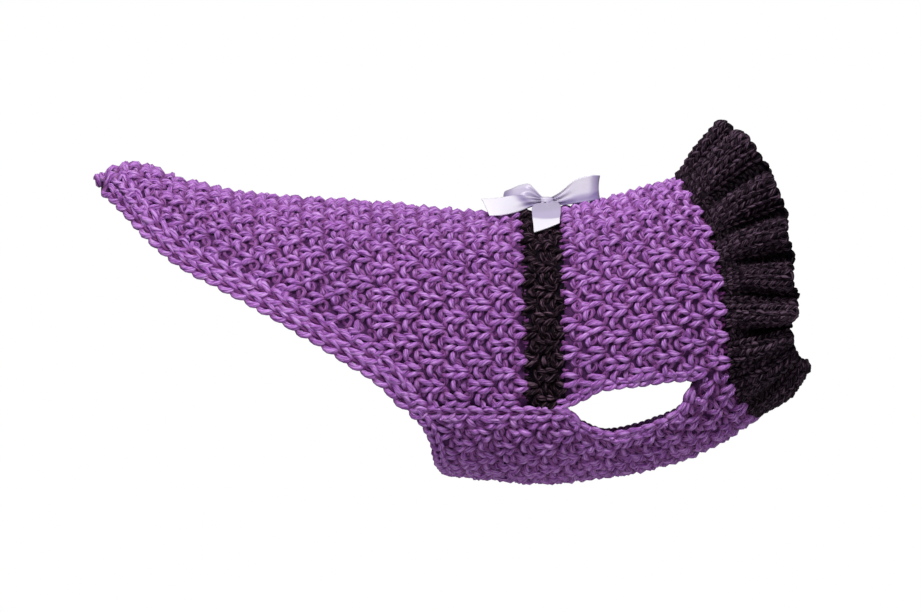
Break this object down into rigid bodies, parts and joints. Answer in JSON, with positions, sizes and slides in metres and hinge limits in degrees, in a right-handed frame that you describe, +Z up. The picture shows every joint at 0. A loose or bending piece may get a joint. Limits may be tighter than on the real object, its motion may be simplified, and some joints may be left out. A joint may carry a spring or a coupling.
{
  "type": "dog sweater",
  "caption": "Hand-knitted dog sweater with a long tail flap, belly panel, leg holes, gathered neck ruffle and a satin bow on the back.",
  "frame": {"origin": "the inside of the back at the spine, under the dark band, where the sweater rests on its wearer's back", "axes": "+X along the spine towards the head, +Y towards the wearer's left side, +Z up"},
  "size_m": [0.3008, 0.112, 0.1522],
  "materials": {
    "purple_yarn": "soft lustrous yarn",
    "black_yarn": "fuzzy matt yarn",
    "collar_yarn": "fine matt yarn",
    "satin_ribbon": "satin"
  },
  "bodies": {
    "root": {"back_rear": "purple_yarn", "back_band": "black_yarn", "back_yoke": "purple_yarn", "belly_panel": "purple_yarn", "collar": "collar_yarn", "bow_loop_left": "satin_ribbon", "bow_loop_right": "satin_ribbon", "bow_tail_left": "satin_ribbon", "bow_tail_down": "satin_ribbon", "bow_knot": "satin_ribbon"}
  },
  "joints": []
}
